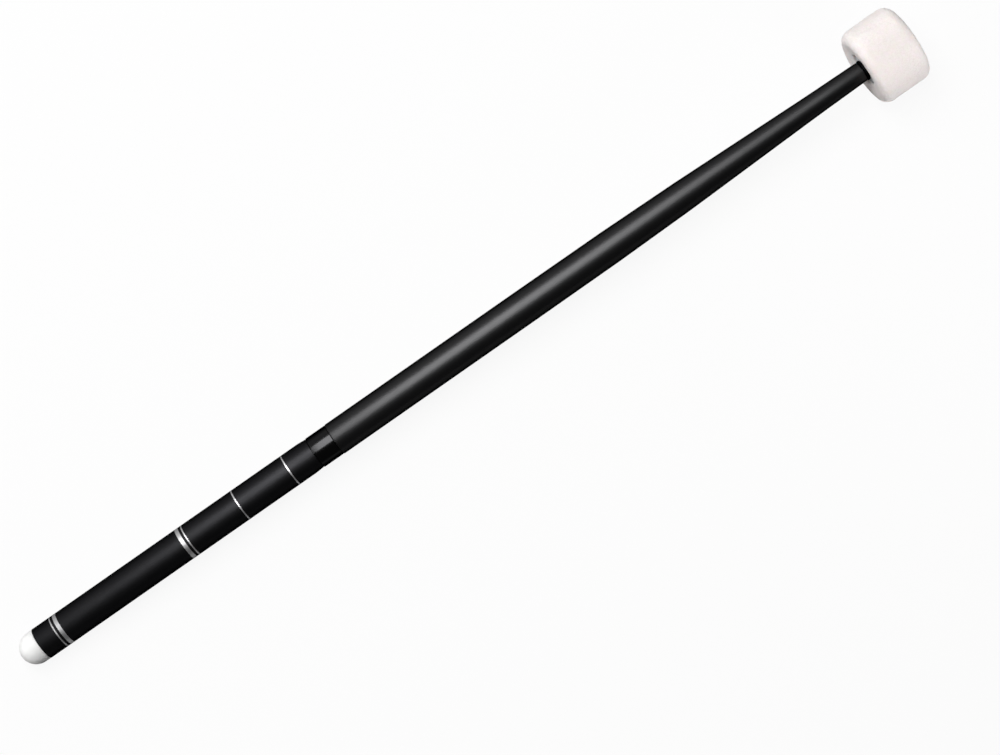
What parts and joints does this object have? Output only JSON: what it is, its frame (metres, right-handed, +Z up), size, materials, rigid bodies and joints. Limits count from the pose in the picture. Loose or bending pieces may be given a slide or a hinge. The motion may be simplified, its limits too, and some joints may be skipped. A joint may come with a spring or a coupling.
{
  "type": "felt mallet",
  "caption": "Straight percussion mallet with a black tubular handle, a tapered black cover, a screw-on white felt head and a white domed end cap.",
  "frame": {"origin": "middle of the mallet's length, on its axis", "axes": "+X along the mallet's axis towards the felt head, +Z up as the mallet lies, +Y to its left seen from the cap"},
  "size_m": [0.4346, 0.0336, 0.0336],
  "materials": {
    "cap_plastic": "white satin moulded plastic",
    "damper_foam": "soft grey foam rubber",
    "handle_black": "satin black anodised tube with a plain silver ring print",
    "ring_gloss": "gloss black",
    "core_aluminium": "drawn, bare",
    "cover_matt": "matt black polyurethane",
    "washer_nylon": "black nylon",
    "stud_steel": "zinc plated thread",
    "hub_nylon": "grey moulded nylon",
    "felt_white": "hard pressed white wool felt"
  },
  "bodies": {
    "shaft": {"handle_tube": "handle_black", "damper_rod": "damper_foam", "joint_bush": "ring_gloss", "core_tube": "core_aluminium", "cover_sleeve": "cover_matt"},
    "washer": {"front_washer": "washer_nylon"},
    "head": {"head_stud": "stud_steel", "head_hub": "hub_nylon", "felt_head": "felt_white"},
    "cap": {"end_cap": "cap_plastic"}
  },
  "joints": [
    {"name": "head_travel", "type": "slide", "parent": "shaft", "child": "washer", "axis": [1, 0, 0], "range_m": [0, 0.0119]},
    {"name": "head_turn", "type": "hinge", "parent": "washer", "child": "head", "pos_m": [0.1965, 0, 0], "axis": [1, 0, 0], "range_deg": [0, 6120]},
    {"name": "cap_pull", "type": "slide", "parent": "shaft", "child": "cap", "axis": [-1, 0, 0], "range_m": [0, 0.0125]}
  ],
  "couplings": [
    {"joint": "head_travel", "follows": "head_turn", "m_per_rad": 0.00011141}
  ]
}
